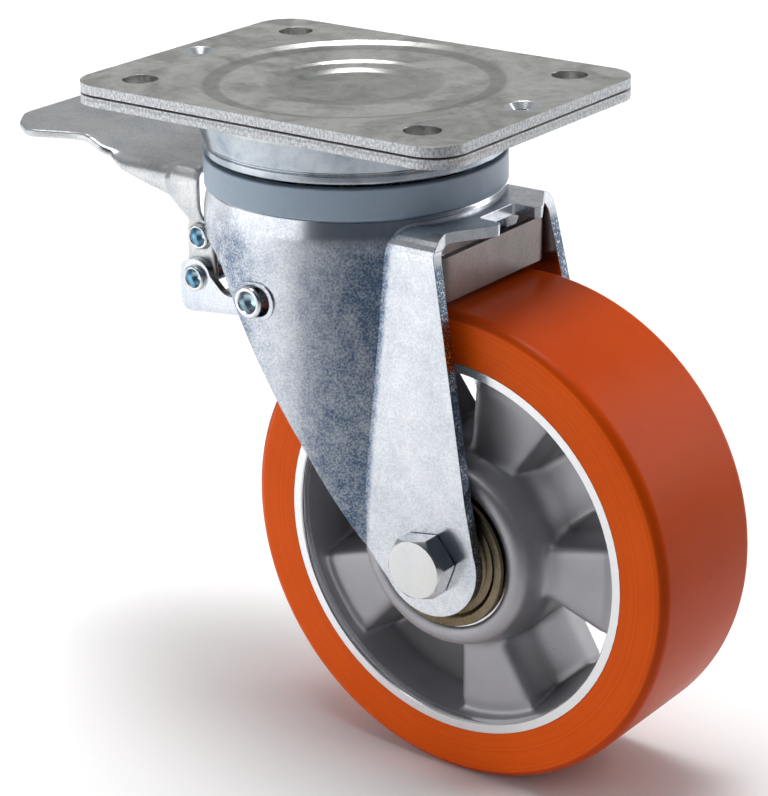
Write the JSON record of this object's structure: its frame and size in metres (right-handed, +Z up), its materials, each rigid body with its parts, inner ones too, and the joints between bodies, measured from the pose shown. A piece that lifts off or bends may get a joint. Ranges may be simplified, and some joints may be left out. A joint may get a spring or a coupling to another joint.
{
  "type": "swivel castor",
  "caption": "Heavy-duty swivel castor with a rectangular bolt plate, pressed fork, polyurethane-tyred cast wheel and a leading foot pedal that locks wheel and swivel.",
  "frame": {"origin": "centre of the upper plate's top face, on the swivel axis", "axes": "+Z up out of the top face; +X the way the wheel trails, with the pedal towards -X; the axle's hexagon head towards -Y"},
  "size_m": [0.25, 0.104, 0.2075],
  "materials": {
    "plate_zinc": "zinc plated, matt",
    "sheet_zinc": "zinc plated, bright with blue passivation",
    "rivet_zinc": "zinc plated, bright",
    "bolt_zinc": "zinc plated, bright",
    "dark_steel": "oiled, hardened",
    "bearing_steel": "polished",
    "cage_brass": "satin",
    "cap_zinc": "yellow passivated",
    "seal_plastic": "satin, blue-grey",
    "shield_dark": "matt",
    "shoe_steel": "zinc plated",
    "cast_core": "satin casting, machined rim",
    "tread_pu": "glossy polyurethane"
  },
  "bodies": {
    "head": {"top_plate": "plate_zinc", "head_plate": "plate_zinc", "plate_rivets": "rivet_zinc", "kingpin": "dark_steel", "kingpin_nut": "dark_steel", "lower_race": "dark_steel", "lock_ring": "dark_steel"},
    "upper_ball_set": {"upper_balls": "bearing_steel", "upper_cage": "cage_brass"},
    "lower_ball_set": {"lower_balls": "bearing_steel", "lower_cage": "cage_brass"},
    "fork_body": {"fork": "sheet_zinc", "seal_ring": "seal_plastic", "pedal_hanger": "sheet_zinc", "pedal_pin": "rivet_zinc", "axle_bolt": "bolt_zinc", "axle_nut": "bolt_zinc", "axle_tube": "dark_steel", "dust_cap_near": "cap_zinc", "dust_cap_far": "cap_zinc", "bearing_inner_rings": "bearing_steel"},
    "bearing_ball_set": {"bearing_balls": "bearing_steel", "bearing_cages": "cage_brass"},
    "wheel": {"wheel_core": "cast_core", "tread": "tread_pu", "bearing_outer_rings": "bearing_steel", "bearing_shields": "shield_dark"},
    "pedal_body": {"pedal": "sheet_zinc", "link_pin": "rivet_zinc"},
    "link_body": {"link_bracket": "sheet_zinc"},
    "brake_slide_body": {"brake_bow": "sheet_zinc", "brake_shoe": "shoe_steel", "lock_pawl": "shoe_steel", "slide_pins": "rivet_zinc"}
  },
  "joints": [
    {"name": "swivel", "type": "hinge", "parent": "head", "child": "fork_body", "pos_m": [0, 0, 0], "axis": [0, 0, 1], "continuous": true},
    {"name": "upper_balls_roll", "type": "hinge", "parent": "head", "child": "upper_ball_set", "pos_m": [0, 0, -0.0256], "axis": [0, 0, 1], "continuous": true},
    {"name": "lower_balls_roll", "type": "hinge", "parent": "head", "child": "lower_ball_set", "pos_m": [0, 0, -0.038], "axis": [0, 0, 1], "continuous": true},
    {"name": "wheel_spin", "type": "hinge", "parent": "fork_body", "child": "wheel", "pos_m": [0.052, 0, -0.1325], "axis": [0, 1, 0], "continuous": true},
    {"name": "bearing_balls_roll", "type": "hinge", "parent": "fork_body", "child": "bearing_ball_set", "pos_m": [0.052, 0, -0.1325], "axis": [0, 1, 0], "continuous": true},
    {"name": "pedal_press", "type": "hinge", "parent": "fork_body", "child": "pedal_body", "pos_m": [-0.0398, 0, -0.0498], "axis": [0, -1, 0], "range_deg": [0, 10.85]},
    {"name": "link_swing", "type": "hinge", "parent": "pedal_body", "child": "link_body", "pos_m": [-0.0399, 0, -0.0624], "axis": [0, -1, 0], "range_deg": [-11.18, 0]},
    {"name": "brake_slide", "type": "slide", "parent": "fork_body", "child": "brake_slide_body", "axis": [1, 0, 0], "range_m": [0, 0.0024]}
  ],
  "couplings": [
    {"joint": "upper_balls_roll", "follows": "swivel", "ratio": 0.5},
    {"joint": "lower_balls_roll", "follows": "swivel", "ratio": 0.5},
    {"joint": "bearing_balls_roll", "follows": "wheel_spin", "ratio": 0.619},
    {"joint": "link_swing", "follows": "pedal_press", "ratio": -1.0304},
    {"joint": "brake_slide", "follows": "pedal_press", "m_per_rad": 0.012674}
  ]
}
